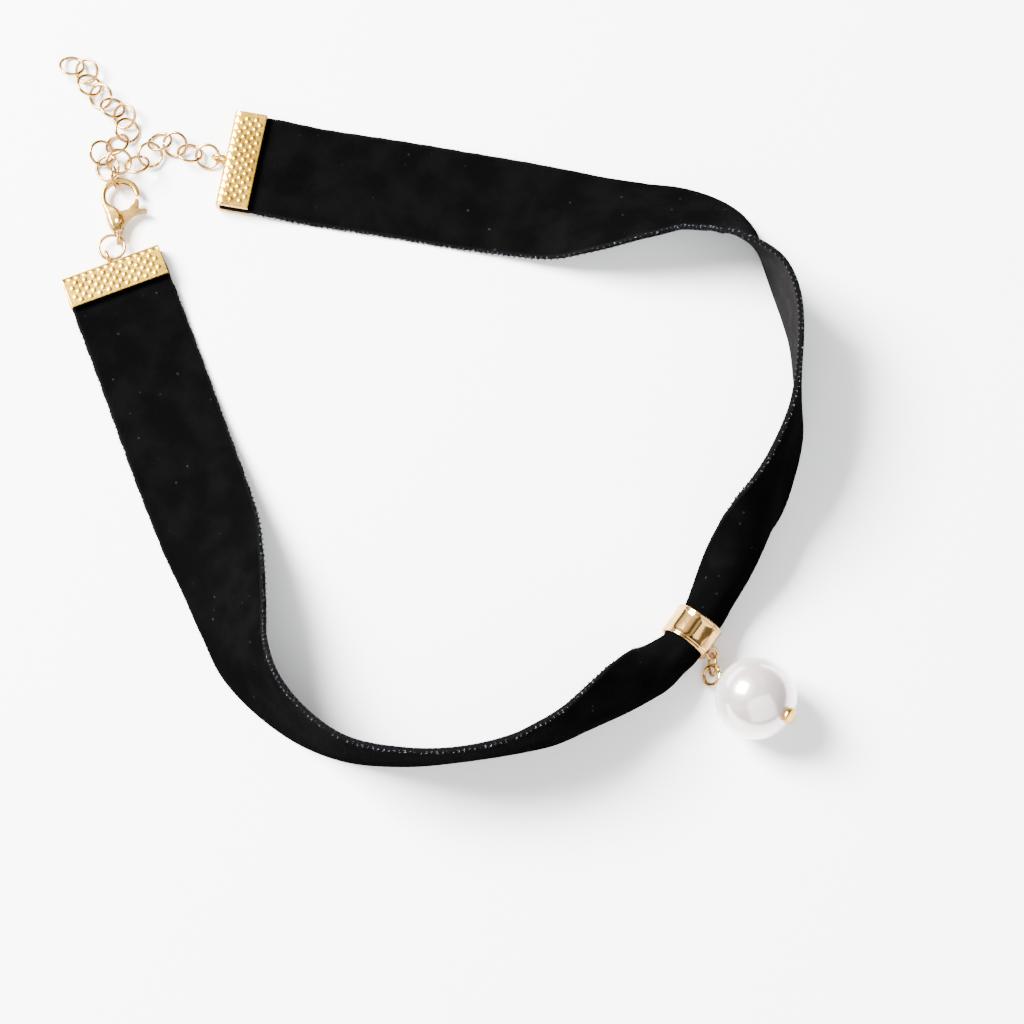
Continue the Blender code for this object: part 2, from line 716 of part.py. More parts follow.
def settle(pieces):
    """Moves the whole choker so that its box stands centred on the origin, at Z = 0."""
    bpy.context.view_layer.update()
    graph = bpy.context.evaluated_depsgraph_get()
    points = []
    for made in pieces:
        seen = made.evaluated_get(graph)
        points += [seen.matrix_world @ vertex.co for vertex in seen.to_mesh().vertices]
        seen.to_mesh_clear()
    low = [min(point[i] for point in points) for i in range(3)]
    high = [max(point[i] for point in points) for i in range(3)]
    base = bpy.data.objects.new("choker", None)
    bpy.context.scene.collection.objects.link(base)
    for made in list(bpy.data.objects):
        if made is not base:
            made.parent = base
    base.location = (-(low[0] + high[0]) / 2, -(low[1] + high[1]) / 2, -low[2])


def main():
    for old in list(bpy.data.objects):
        bpy.data.objects.remove(old, do_unlink=True)
    velvet = material("black_velvet", (0.006, 0.006, 0.008), 0.0, 0.95)
    gold = material("pale_gold", (0.86, 0.66, 0.38), 1.0, 0.22)
    lustre = material("pearl_lustre", (0.86, 0.82, 0.80), 0.0, 0.18)
    frame = clasp_frame()
    clasp_place = place_between(crimp_loop(PATH.length, 1), frame, 0.0, CLASP_RING_SHIFT)
    drop_place = place_between(tube_loop(), pin_eye(), DROP_RING_LEAN)
    pieces = [
        make_ribbon(velvet),
        make_crimp("right_crimp_end", 0.0, -1, gold),
        make_crimp("left_crimp_end", PATH.length, 1, gold),
        make_tube(gold),
        make_ring("drop_jump_ring", drop_place, DROP_RING_RADIUS, RING_WIRE, gold),
        make_head_pin(gold),
        make_pearl(lustre),
        make_clasp_body(frame, gold),
        make_clasp_lever(frame, gold),
        make_ring("clasp_jump_ring", clasp_place, CLASP_RING_RADIUS, RING_WIRE, gold),
    ]
    pieces += make_chain(gold)
    settle(pieces)


main()
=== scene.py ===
"""Dresses the choker: velvet cloth, folded crimps, tube, clasp, chain and pearl on a pale table."""
import math
import random

import bpy
import numpy as np
from mathutils import Matrix, Vector


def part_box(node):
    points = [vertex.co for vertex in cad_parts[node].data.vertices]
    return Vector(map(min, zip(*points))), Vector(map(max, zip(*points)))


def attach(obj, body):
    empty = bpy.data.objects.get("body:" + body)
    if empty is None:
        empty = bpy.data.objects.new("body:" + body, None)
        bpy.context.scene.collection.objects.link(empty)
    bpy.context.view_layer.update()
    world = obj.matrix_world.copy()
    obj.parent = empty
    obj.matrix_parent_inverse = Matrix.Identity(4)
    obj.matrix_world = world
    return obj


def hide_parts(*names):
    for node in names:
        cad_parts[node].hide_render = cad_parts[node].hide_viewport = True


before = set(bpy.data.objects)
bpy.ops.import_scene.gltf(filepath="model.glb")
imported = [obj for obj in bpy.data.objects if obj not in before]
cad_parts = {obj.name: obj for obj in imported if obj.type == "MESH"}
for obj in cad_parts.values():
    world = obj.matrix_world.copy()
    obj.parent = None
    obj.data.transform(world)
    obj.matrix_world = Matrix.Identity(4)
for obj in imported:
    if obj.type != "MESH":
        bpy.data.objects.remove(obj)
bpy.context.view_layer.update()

MM = 0.001
NECKLACE, LEVER = "necklace", "lever"

# The camera looks down on the middle of the picture
VIEW_TARGET = Vector((0.014062, -0.017963, 0.0))
VIEW_DISTANCE = 0.5
VIEW_ELEVATION = math.radians(75)
VIEW_LENS = 109.9

# The room's light by how far a direction turns towards the window, from -1 and below to 1
WINDOW_SIDE = (-0.62, 0.32, 0.72)
ROOM_DIM, ROOM_BRIGHT = (0.30, 0.29, 0.28, 1.0), (1.9, 1.95, 2.0, 1.0)
ROOM_BANDS = ((0.30, 0.10), (0.48, 0.06), (0.56, 1.2), (0.64, 0.9), (0.70, 0.12), (0.78, 0.20), (0.86, 1.7))
LAMPS = (
    # name, place, size, power, colour
    ("window", (-0.60, 0.30, 0.68), 0.45, 104.0, (1.0, 0.99, 0.98)),
    ("front_fill", (0.30, -0.80, 0.80), 1.6, 34.0, (0.96, 0.98, 1.0)),
)
TABLE_SIZE = 4.0
TABLE_DROP = 0.02 * MM

# Sizes of the findings
CRIMP_LENGTH = 16.6 * MM
CRIMP_THICKNESS = 3.0 * MM
CRIMP_SHEET = 0.6 * MM
CRIMP_MOUTH = -4.3 * MM
CRIMP_BACK = 1.1 * MM
CRIMP_UNDER_MIDDLE = -1.775 * MM
CRIMP_LOOP = (1.15 * MM, 0.32 * MM)
TUBE_LENGTH = 4.9 * MM
TUBE_RADIUS = 4.02 * MM
TUBE_WALL = 0.4 * MM
TUBE_LOOP = (0.85 * MM, 0.25 * MM)
PEARL_RADIUS = 6.45 * MM
PEARL_BORE = 0.75 * MM
PIN_WIRE = 0.3 * MM
PIN_EYE = (1.5 * MM, 0.3 * MM)
RIBBON_FLAT = (0.0166, 0.309)


# Small helpers
SELECT_ALL = (bpy.ops.mesh.select_all, {"action": "SELECT"})
DELETE_FACES = (bpy.ops.mesh.delete, {"type": "FACE"})
TIDY_NORMALS = (bpy.ops.mesh.normals_make_consistent, {})


def points_of(node):
    """The different points of a node's mesh, as an array."""
    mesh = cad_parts[node].data
    flat = np.empty(len(mesh.vertices) * 3)
    mesh.vertices.foreach_get("co", flat)
    return np.unique(np.round(flat.reshape(-1, 3), 7), axis=0)


def axes_of(points):
    """The middle of some points and their directions, from the longest to the shortest."""
    middle = points.mean(axis=0)
    directions = np.linalg.svd(points - middle)[2]
    return Vector(middle), [Vector(row) for row in directions]


def frame_from(middle, axis, across):
    """A placement whose Z is the axis and whose X is as near as can be to across."""
    up = Vector(axis).normalized()
    side = Vector(across)
    side = (side - up * side.dot(up)).normalized()
    turned = Matrix((side, up.cross(side), up)).transposed().to_4x4()
    return Matrix.Translation(Vector(middle)) @ turned


def add(name, operator, **settings):
    """Adds a basic shape as a named piece, with its place in its mesh."""
    bpy.ops.object.select_all(action="DESELECT")
    operator(**settings)
    made = bpy.context.object
    made.name = name
    bpy.ops.object.transform_apply(location=True, rotation=True, scale=True)
    return made


def in_scene(mesh):
    """Puts a finished mesh in the scene as an object of its name."""
    made = bpy.data.objects.new(mesh.name, mesh)
    bpy.context.scene.collection.objects.link(made)
    return made


def alone(made):
    bpy.ops.object.select_all(action="DESELECT")
    made.select_set(True)
    bpy.context.view_layer.objects.active = made


def put(made, place):
    """Moves a finished shape to its place, with the place in its mesh."""
    made.data.transform(place)
    made.data.update()


def finish_with(made, kind, **settings):
    """Adds a modifier and applies it."""
    alone(made)
    step = made.modifiers.new(kind.lower(), kind)
    for key, value in settings.items():
        setattr(step, key, value)
    bpy.ops.object.modifier_apply(modifier=step.name)


def round_edges(made, width, degrees):
    limit = {"limit_method": "ANGLE", "angle_limit": math.radians(degrees)}
    finish_with(made, "BEVEL", width=width, segments=2, **limit)


def pick(made, test):
    """Selects the faces whose middle passes the test, and nothing else."""
    for edge in made.data.edges:
        edge.select = False
    for vertex in made.data.vertices:
        vertex.select = False
    for face in made.data.polygons:
        face.select = test(face.center, face.normal)


def edit(made, *steps):
    """Runs edit mode steps, each an operator with its settings."""
    alone(made)
    bpy.ops.object.mode_set(mode="EDIT")
    bpy.ops.mesh.select_mode(type="FACE")
    for operator, settings in steps:
        operator(**settings)
    bpy.ops.object.mode_set(mode="OBJECT")


def join(name, *parts):
    bpy.ops.object.select_all(action="DESELECT")
    for part in parts:
        part.select_set(True)
    bpy.context.view_layer.objects.active = parts[0]
    bpy.ops.object.join()
    made = bpy.context.object
    made.name = name
    return made


def dress(made, finish, body, slot, *nodes, angle=40):
    """Smooths a piece, gives it its finish and lets it ride in place of its nodes."""
    alone(made)
    bpy.ops.object.shade_smooth_by_angle(angle=math.radians(angle))
    made.data.materials.clear()
    made.data.materials.append(finish)
    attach(made, body)
    if nodes:
        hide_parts(*nodes)


# Materials


class Value:
    """A number in a material. Arithmetic on it adds the nodes."""

    def __init__(self, finish, socket):
        self.finish, self.socket = finish, socket

    def _with(self, operation, *terms):
        return self.finish.node("ShaderNodeMath", {"operation": operation}, dict(enumerate(terms)))

    def __add__(self, other):
        return self._with("ADD", self, other)

    def __sub__(self, other):
        return self._with("SUBTRACT", self, other)

    def __mul__(self, other):
        return self._with("MULTIPLY", self, other)

    def __rsub__(self, other):
        return self._with("SUBTRACT", other, self)

    __radd__ = __add__
    __rmul__ = __mul__

    def wave(self):
        return self._with("SINE", self)

    def distance_from(self, level):
        return self._with("ABSOLUTE", self - level)

    def eased(self, low, high):
        """0 below low, 1 above high and a soft step between them."""
        settings = {"interpolation_type": "SMOOTHSTEP"}
        return self.finish.node("ShaderNodeMapRange", settings, {0: self, 1: low, 2: high})


class Finish:
    """A material with one Principled shader."""

    def __init__(self, name, constants):
        self.material = bpy.data.materials.new(name)
        self.material.use_nodes = True
        self.tree = self.material.node_tree
        self.shader = self.tree.nodes["Principled BSDF"]
        for label, value in constants.items():
            self.shader.inputs[label].default_value = value

    def feed(self, socket, value):
        if isinstance(value, Value):
            self.tree.links.new(value.socket, socket)
        else:
            socket.default_value = value

    def node(self, kind, settings=None, inputs=None, out=0):
        made = self.tree.nodes.new(kind)
        for key, value in (settings or {}).items():
            setattr(made, key, value)
        for socket, value in (inputs or {}).items():
            self.feed(made.inputs[socket], value)
        return Value(self, made.outputs[out])

    def place(self):
        return self.node("ShaderNodeTexCoord", out=3)

    def cloth_place(self):
        """How far along and across the cloth a point is."""
        both = self.node("ShaderNodeTexCoord", out=2)
        split = self.tree.nodes.new("ShaderNodeSeparateXYZ")
        self.feed(split.inputs[0], both)
        return Value(self, split.outputs[0]), Value(self, split.outputs[1])

    def noise(self, scale, detail=2.0):
        inputs = {"Vector": self.place(), "Scale": scale, "Detail": detail}
        return self.node("ShaderNodeTexNoise", None, inputs)

    def cells(self, scale):
        inputs = {"Vector": self.place(), "Scale": scale}
        return self.node("ShaderNodeTexVoronoi", None, inputs)

    def mixed(self, share, first, second):
        inputs = {0: share, 6: (*first, 1.0) if isinstance(first, tuple) else first, 7: (*second, 1.0)}
        return self.node("ShaderNodeMix", {"data_type": "RGBA"}, inputs, out=2)

    def bump(self, height, strength, distance):
        inputs = {"Height": height, "Strength": strength, "Distance": distance}
        return self.node("ShaderNodeBump", None, inputs)

    def shade(self, **values):
        names = {"colour": "Base Color", "roughness": "Roughness", "normal": "Normal"}
        for key, value in values.items():
            self.feed(self.shader.inputs[names[key]], value)
        return self.material


def polished_gold(name, colour, deep, roughness, wear):
    """Plated brass: clouded tint, fine rubbing marks and a faint ripple."""
    finish = Finish(name, {"Metallic": 1.0})
    cloud = finish.noise(260.0, 3.0)
    rubbed = finish.noise(5200.0, 4.0)
    tint = finish.mixed(cloud.eased(0.35, 0.7), colour, deep)
    gloss = roughness + wear * rubbed.eased(0.4, 0.75) + 0.06 * cloud
    ripple = finish.bump(finish.noise(700.0, 2.0) + 0.2 * rubbed, 0.10, 0.03 * MM)
    return finish.shade(colour=tint, roughness=gloss, normal=ripple)


# Rows of pile and ribs of the weave, in each length of cloth as long as it is wide
PILE_ROWS = 42
WEFT_RIBS, WARP_RIBS = 38, 60


def velvet_face():
    """Black pile with a faint bloom at glancing angles, brushed patches and a few flecks of lint."""
    finish = Finish("velvet_pile", {
        "Sheen Weight": 0.008,
        "Sheen Roughness": 0.22,
        "Sheen Tint": (0.75, 0.75, 0.80, 1.0),
        "Specular IOR Level": 0.0,
    })
    along, across = finish.cloth_place()
    brushed = finish.noise(190.0, 3.0)
    tuft = finish.noise(4200.0, 3.0)
    lint = (0.16 - finish.cells(620.0)).eased(0.0, 0.05) * finish.noise(900.0).eased(0.58, 0.64)
    rows = (along * 2 * math.pi * PILE_ROWS).wave() * 0.5 + 0.5
    pile = finish.mixed(brushed.eased(0.35, 0.7), (0.0009, 0.0009, 0.0009), (0.0015, 0.0015, 0.0015))
    flecked = finish.mixed(lint * 0.25, pile, (0.030, 0.030, 0.036))
    selvedge = across.distance_from(0.5).eased(0.475, 0.492)
    edged = finish.mixed(selvedge * 0.6, flecked, (0.0035, 0.0035, 0.004))
    height = tuft + 0.3 * rows + 0.5 * brushed
    return finish.shade(
        colour=edged,
        roughness=0.82 + 0.14 * tuft,
        normal=finish.bump(height, 0.7, 0.12 * MM),
    )


def woven_back():
    """The ribbon's woven back: dark grey ribs, clouded with wear."""
    finish = Finish("woven_back", {
        "Sheen Weight": 0.01,
        "Sheen Roughness": 0.35,
        "Sheen Tint": (0.8, 0.78, 0.8, 1.0),
        "Specular IOR Level": 0.0,
    })
    along, across = finish.cloth_place()
    weft = (along * 2 * math.pi * WEFT_RIBS).wave()
    warp = (across * 2 * math.pi * WARP_RIBS).wave()
    cloud = finish.noise(350.0, 3.0)
    thread = weft * warp * 0.5 + 0.5
    dull = finish.mixed(thread, (0.002, 0.0019, 0.002), (0.009, 0.0087, 0.0088))
    colour = finish.mixed(cloud.eased(0.45, 0.75) * 0.5, dull, (0.013, 0.0124, 0.0127))
    return finish.shade(
        colour=colour,
        roughness=0.55 + 0.2 * thread,
        normal=finish.bump(thread + 0.5 * cloud, 0.8, 0.09 * MM),
    )


def stitch_thread():
    finish = Finish("selvedge_thread", {"Sheen Weight": 0.02, "Specular IOR Level": 0.08})
    twist = finish.noise(3800.0, 3.0)
    colour = finish.mixed(twist.eased(0.35, 0.7), (0.006, 0.006, 0.006), (0.040, 0.038, 0.039))
    raised = finish.bump(twist, 0.5, 0.05 * MM)
    return finish.shade(colour=colour, roughness=0.6 + 0.2 * twist, normal=raised)


def fuzz_fibre():
    finish = Finish("pile_fibre", {"Sheen Weight": 0.6, "Sheen Tint": (0.7, 0.75, 0.9, 1.0)})
    shade = finish.noise(1200.0)
    colour = finish.mixed(shade.eased(0.4, 0.7), (0.008, 0.008, 0.010), (0.05, 0.052, 0.062))
    return finish.shade(colour=colour, roughness=0.7 + 0.2 * shade)


def pearl_lustre():
    """Coated bead with tiny pits; its base colour is a painted reflection by viewing angle: rosy grey face
    on, where the dark room would mirror, and warm white at the rim, where the pale table would.
    """
    finish = Finish("pearl_coat", {
        "Metallic": 0.52,
        "Coat Weight": 0.7,
        "Coat Roughness": 0.06,
        "Coat IOR": 1.6,
    })
    facing = finish.node("ShaderNodeLayerWeight", None, {"Blend": 0.42}, out=1)
    cloud = finish.noise(150.0, 3.0)
    pits = finish.cells(1400.0).eased(0.0, 0.16)
    # Painted reflection: the base colour goes from rosy grey face on to warm white at the rim, standing in
    # for the dark room and the pale table mirrored in the coat
    body = finish.mixed(facing.eased(0.15, 0.75), (0.56, 0.47, 0.475), (0.93, 0.90, 0.87))
    tint = finish.mixed(cloud.eased(0.4, 0.7) * 0.2, body, (0.86, 0.74, 0.73))
    height = 0.4 * pits + finish.noise(420.0, 2.0)
    return finish.shade(
        colour=tint,
        roughness=0.17 + 0.08 * cloud,
        normal=finish.bump(height, 0.12, 0.05 * MM),
    )


def table_top():
    finish = Finish("pale_table", {"Specular IOR Level": 0.2})
    grain = finish.noise(900.0, 4.0)
    colour = finish.mixed(grain, (0.93, 0.93, 0.93), (0.96, 0.96, 0.96))
    raised = finish.bump(grain, 0.08, 0.1 * MM)
    return finish.shade(colour=colour, roughness=0.7 + 0.1 * grain, normal=raised)


CRIMP_GOLD = polished_gold("crimp_gold", (0.64, 0.38, 0.04), (0.38, 0.20, 0.02), 0.20, 0.12)
CAST_GOLD = polished_gold("cast_gold", (0.60, 0.36, 0.09), (0.34, 0.18, 0.04), 0.15, 0.10)
WIRE_GOLD = polished_gold("wire_gold", (0.54, 0.31, 0.08), (0.28, 0.14, 0.03), 0.14, 0.08)
TUBE_GOLD = polished_gold("tube_gold", (0.66, 0.40, 0.13), (0.50, 0.27, 0.08), 0.07, 0.05)


# The stage: camera, lights and table


def add_camera():
    level = Vector((0.0, -math.cos(VIEW_ELEVATION), math.sin(VIEW_ELEVATION)))
    turn = (math.pi / 2 - VIEW_ELEVATION, 0.0, 0.0)
    bpy.ops.object.camera_add(location=VIEW_TARGET + level * VIEW_DISTANCE, rotation=turn)
    camera = bpy.context.object
    camera.data.lens = VIEW_LENS
    camera.data.clip_start = 0.01
    bpy.context.scene.camera = camera


def add_soft_light(name, place, size, power, colour):
    bpy.ops.object.light_add(type="AREA", location=place)
    lamp = bpy.context.object
    lamp.name = name
    lamp.data.size = size
    lamp.data.energy = power
    lamp.data.color = colour
    lamp.rotation_euler = (VIEW_TARGET - Vector(place)).to_track_quat("-Z", "Y").to_euler()


def add_stage():
    table = add("table", bpy.ops.mesh.primitive_plane_add, size=TABLE_SIZE, location=(0.0, 0.0, -TABLE_DROP))
    table.data.materials.append(table_top())
    world = bpy.data.worlds.new("room")
    bpy.context.scene.world = world
    world.use_nodes = True
    tree = world.node_tree
    glow = tree.nodes["Background"]
    glow.inputs["Strength"].default_value = 1.0
    where = tree.nodes.new("ShaderNodeTexCoord")
    toward = tree.nodes.new("ShaderNodeVectorMath")
    toward.operation = "DOT_PRODUCT"
    toward.inputs[1].default_value = WINDOW_SIDE
    ramp = tree.nodes.new("ShaderNodeValToRGB")
    stops = ramp.color_ramp.elements
    stops[0].position, stops[0].color = 0.0, ROOM_DIM
    stops[1].position, stops[1].color = 1.0, ROOM_BRIGHT
    for position, level in ROOM_BANDS:
        stops.new(position).color = (level, level, level, 1.0)
    tree.links.new(where.outputs["Generated"], toward.inputs[0])
    tree.links.new(toward.outputs["Value"], ramp.inputs["Fac"])
    tree.links.new(ramp.outputs["Color"], glow.inputs["Color"])
    for lamp in LAMPS:
        add_soft_light(*lamp)


# The velvet ribbon

LOOP_WIDTH = 120.0 * MM
LOOP_DEPTH = 110.0 * MM
PIECE_GAP = 0.3 * MM
CLOTH_THICKNESS = 0.95 * MM
GATHERED_THICKNESS = 0.8 * MM
GATHER_TURN = math.radians(326)
LEAST_TURN = math.radians(2)
HEADING_STEP = 0.02 * MM
CRIMP_DEPTH = 5.4 * MM
CRIMP_SLOPE = 9.0 * MM

# The ribbon's way round, clockwise from the right crimp, as in the solids: x and y are shares of
# the loop's width and depth, lean is the velvet's tilt in degrees and gather its curling share.
RIBBON_SECTIONS = (
    # x, y, lean, gather
    (-0.383, 0.540, 0, 0.0),
    (-0.267, 0.517, 0, 0.0),
    (-0.165, 0.499, 0, 0.0),
    (-0.083, 0.483, 0, 0.0),
    (0.000, 0.467, 3, 0.0),
    (0.063, 0.454, 10, 0.0),
    (0.113, 0.448, 25, 0.0),
    (0.178, 0.447, 40, 0.0),
    (0.228, 0.447, 48, 0.0),
    (0.275, 0.433, 54, 0.0),
    (0.303, 0.412, 61, 0.0),
    (0.320, 0.391, 71, 0.0),
    (0.339, 0.366, 82, 0.0),
    (0.357, 0.336, 90, 0.0),
    (0.371, 0.297, 92, 0.0),
    (0.379, 0.252, 90, 0.0),
    (0.380, 0.191, 87, 0.0),
    (0.377, 0.125, 81, 0.0),
    (0.368, 0.085, 78, 0.0),
    (0.354, 0.044, 75, 0.0),
    (0.336, -0.003, 71, 0.10),
    (0.317, -0.041, 68, 0.32),
    (0.290, -0.089, 65, 0.66),
    (0.266, -0.132, 60, 0.92),
    (0.250, -0.164, 56, 1.0),
    (0.235, -0.187, 55, 1.0),
    (0.220, -0.210, 56, 1.0),
    (0.201, -0.229, 60, 0.92),
    (0.181, -0.252, 69, 0.66),
    (0.139, -0.287, 74, 0.34),
    (0.082, -0.324, 83, 0.10),
    (0.040, -0.343, 88, 0.0),
    (-0.003, -0.359, 93, 0.0),
    (-0.067, -0.372, 95, 0.0),
    (-0.133, -0.376, 93, 0.0),
    (-0.208, -0.366, 89, 0.0),
    (-0.266, -0.335, 82, 0.0),
    (-0.316, -0.285, 73, 0.0),
    (-0.349, -0.227, 60, 0.0),
    (-0.365, -0.166, 48, 0.0),
    (-0.382, -0.096, 33, 0.0),
    (-0.400, -0.036, 17, 0.0),
    (-0.443, 0.087, 4, 0.0),
    (-0.489, 0.220, 0, 0.0),
    (-0.542, 0.368, 0, 0.0),
)


def section_rows():
    rows = np.array(RIBBON_SECTIONS, dtype=float) * (LOOP_WIDTH, LOOP_DEPTH, 1.0, 1.0)
    steps = np.hypot(*np.diff(rows[:, :2], axis=0).T)
    return np.concatenate([[0.0], np.cumsum(steps)]), rows


SECTION_STOPS, SECTION_ROWS = section_rows()
ON_TABLE = 0.05 * MM


def crimp_place(node):
    """A crimp's placement: X along the spine, Y out of the ribbon's end, Z up, on the table."""
    points = points_of(node)
    under, (spine, _, _) = axes_of(points[points[:, 2] < ON_TABLE])
    spine = Vector((spine.x, spine.y, 0.0)).normalized()
    out = Vector((-spine.y, spine.x, 0.0))
    reach = (points - np.array(under)) @ np.array(out)
    if -reach.min() > reach.max():
        out = -out
    side = out.cross(Vector((0, 0, 1)))
    middle = Vector((under.x, under.y, 0.0)) - out * CRIMP_UNDER_MIDDLE
    turned = Matrix((side, out, Vector((0, 0, 1)))).transposed().to_4x4()
    return Matrix.Translation(middle) @ turned


def smooth_through(stops, rows, wanted):
    """A smooth curve through rows at the stops, read at the wanted places."""
    own, shape = np.arange(len(stops)), (-1,) + (1,) * (rows.ndim - 1)
    low, high = np.maximum(own - 1, 0), np.minimum(own + 1, len(stops) - 1)
    slopes = (rows[high] - rows[low]) / (stops[high] - stops[low]).reshape(shape)
    at = np.clip(np.searchsorted(stops, wanted, side="right") - 1, 0, len(stops) - 2)
    span = stops[at + 1] - stops[at]
    t, span = ((wanted - stops[at]) / span).reshape(shape), span.reshape(shape)
    return (
        (2 * t**3 - 3 * t**2 + 1) * rows[at] + (3 * t**2 - 2 * t**3) * rows[at + 1]
        + (t**3 - 2 * t**2 + t) * span * slopes[at] + (t**3 - t**2) * span * slopes[at + 1]
    )


CLOTH_STEP = 0.8 * MM
CLOTH_COLUMNS = 33
EDGE_STEPS = 3
EDGE_BULGE = 0.16 * MM
KNURL_PITCH = 1.0 * MM
KNURL_DEPTH = 0.07 * MM
PLEATS = 5
PLEAT_DEPTH = 0.16 * MM
PLEAT_REACH = 17.0 * MM
PLEAT_INSIDE = 0.35
PLEAT_WANDER, PLEAT_WANDER_LENGTH = 0.018, 9.0 * MM
TUBE_MOUTH = 1.0 * MM
RIPPLE_DEPTH = 0.04 * MM
RIPPLE_LENGTH, RIPPLE_DRIFT, RIPPLE_WAVES = 7.3 * MM, 11.0 * MM, 5.0
FLAT_END, FLAT_SLOPE = 6.0 * MM, 12.0 * MM
CLOTH_FLOOR = 0.03 * MM


def section_at(distance):
    """The ribbon's place, lean and gather at a distance along it, and its heading."""
    read = np.array([distance - HEADING_STEP, distance, distance + HEADING_STEP])
    before, here, after = smooth_through(SECTION_STOPS, SECTION_ROWS, read)
    return here, Vector((after[0] - before[0], after[1] - before[1], 0.0)).normalized()


def rest_height(distance, gather):
    """How high the ribbon's lowest edge lies: on the table, in a crimp's mouth or in the tube."""
    end = min(distance, SECTION_STOPS[-1] - distance)
    share = min(max((end - CRIMP_DEPTH) / CRIMP_SLOPE, 0.0), 1.0)
    in_crimp = 1.0 - share * share * (3.0 - 2.0 * share)
    return in_crimp * (CRIMP_SHEET + PIECE_GAP) + (1.0 - in_crimp) * gather * (TUBE_WALL + PIECE_GAP)


def cloth_row(distance, columns):
    """Both faces of the ribbon at a distance along it, the velvet first, from edge to edge."""
    (x, y, lean, gather), along = section_at(distance)
    lean, gather = math.radians(lean), min(max(gather, 0.0), 1.0)
    inward = Vector((along.y, -along.x, 0.0))
    up = Vector((0.0, 0.0, 1.0))
    across = inward * math.cos(lean) + up * math.sin(lean)
    pile = up * math.cos(lean) - inward * math.sin(lean)
    thickness = CLOTH_THICKNESS + (GATHERED_THICKNESS - CLOTH_THICKNESS) * gather
    turn = max(GATHER_TURN * gather, LEAST_TURN)
    radius = RIBBON_FLAT[0] / turn
    sink = radius * (1 - math.cos(min(turn / 2, math.pi))) / 2
    angles = (turn * (columns - 0.5))[:, None]
    across, pile = np.array(across), np.array(pile)
    faces = []
    for side in (0.5, -0.5):
        reach = radius + side * thickness
        faces.append(across * reach * np.sin(angles) + pile * (reach * np.cos(angles) - radius + sink))
    faces = np.array(faces)
    base = VIEW_TARGET + Vector((x, y, rest_height(distance, gather) - faces[:, :, 2].min()))
    return faces + np.array(base)


def cloth_grid():
    """Fine rows over the ribbon: the distance of each, and both faces from edge to edge."""
    stations = np.linspace(0.0, SECTION_STOPS[-1], int(SECTION_STOPS[-1] / CLOTH_STEP) + 1)
    columns = np.linspace(0.0, 1.0, CLOTH_COLUMNS)
    return stations, columns, np.array([cloth_row(distance, columns) for distance in stations])


def pleated(stations, columns, faces):
    """Adds the small pleats that run into the tube and the cloth's slight unevenness."""
    tube = np.array(tube_place()[0].translation)
    middles = faces.reshape(len(faces), -1, 3).mean(axis=1)
    away = np.linalg.norm(middles - tube, axis=1)
    gather = np.clip(1.0 - (away - TUBE_LENGTH / 2) / PLEAT_REACH, 0.0, 1.0) ** 2
    inside = away < TUBE_LENGTH / 2 + TUBE_MOUTH
    ends = np.minimum(stations, stations[-1] - stations)
    free = np.clip((ends - FLAT_END) / FLAT_SLOPE, 0.0, 1.0)
    outward = faces[:, 0] - faces[:, 1]
    outward /= np.linalg.norm(outward, axis=2, keepdims=True)
    wander = PLEAT_WANDER * np.sin(stations / PLEAT_WANDER_LENGTH)[:, None]
    pleats = np.cos(2 * np.pi * PLEATS * (columns[None, :] + wander))
    push = PLEAT_DEPTH * (gather * np.where(inside, PLEAT_INSIDE, 1.0))[:, None] * pleats
    drift = np.cos(RIPPLE_WAVES * columns[None, :] + stations[:, None] / RIPPLE_DRIFT)
    uneven = np.sin(stations / RIPPLE_LENGTH)[:, None] * drift
    push = push + RIPPLE_DEPTH * (free * (1.0 - gather))[:, None] * uneven
    return faces + (outward * push[:, :, None])[:, None]


